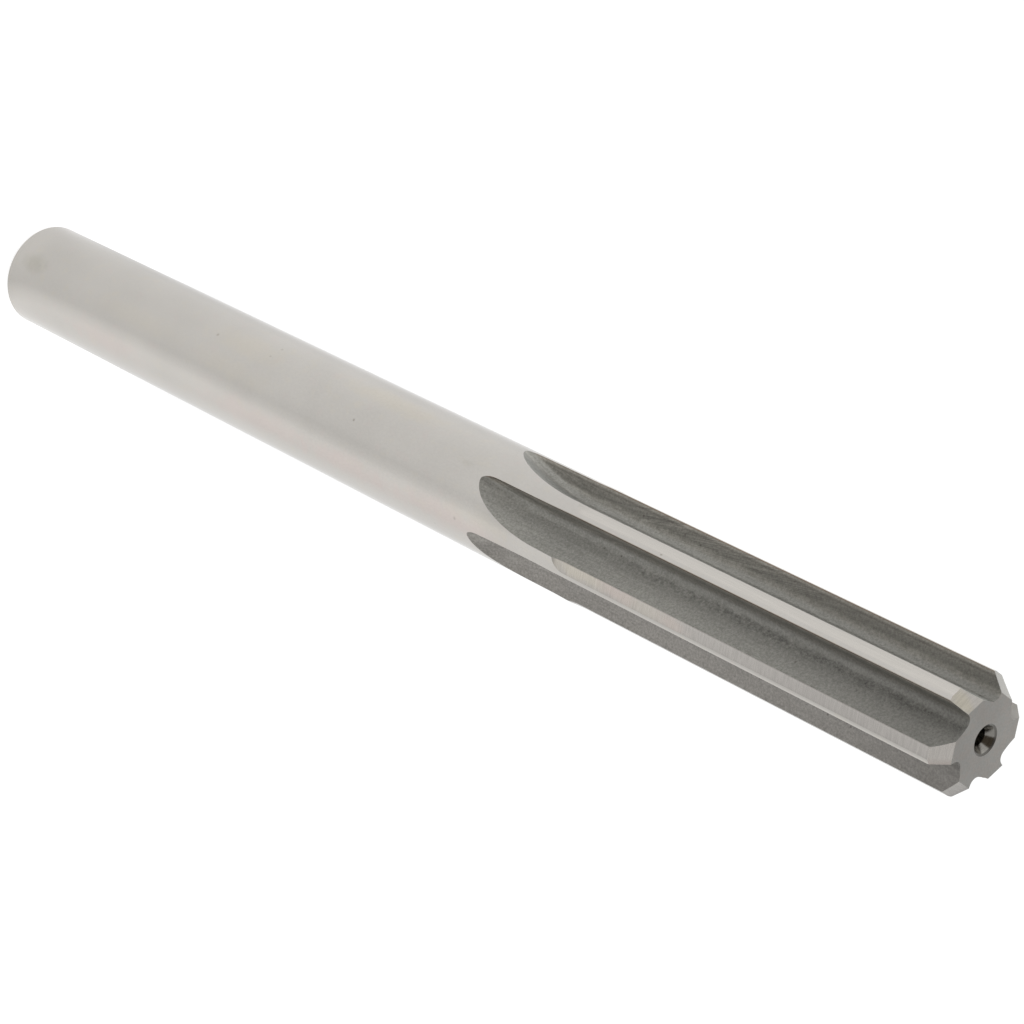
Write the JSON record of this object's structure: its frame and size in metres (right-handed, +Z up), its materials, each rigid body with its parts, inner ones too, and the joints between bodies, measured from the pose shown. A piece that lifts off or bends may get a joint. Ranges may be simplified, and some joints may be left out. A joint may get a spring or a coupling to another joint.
{
  "type": "machine reamer",
  "caption": "Straight-fluted machine reamer ground in one piece: a plain round shank, straight teeth with bevelled leads at the cutting tip, and a small centre hole in the tip.",
  "frame": {"origin": "centre of the flat end of the shank, which the reamer stands on", "axes": "+Z up the axis from the shank end to the cutting tip, +X through the cutting edge of one tooth"},
  "size_m": [0.0064, 0.0062, 0.0762],
  "materials": {
    "ground_carbide": "polished shank and margins, fine matt grinding in the flutes and on the tip"
  },
  "bodies": {
    "root": {"reamer": "ground_carbide"}
  },
  "joints": []
}
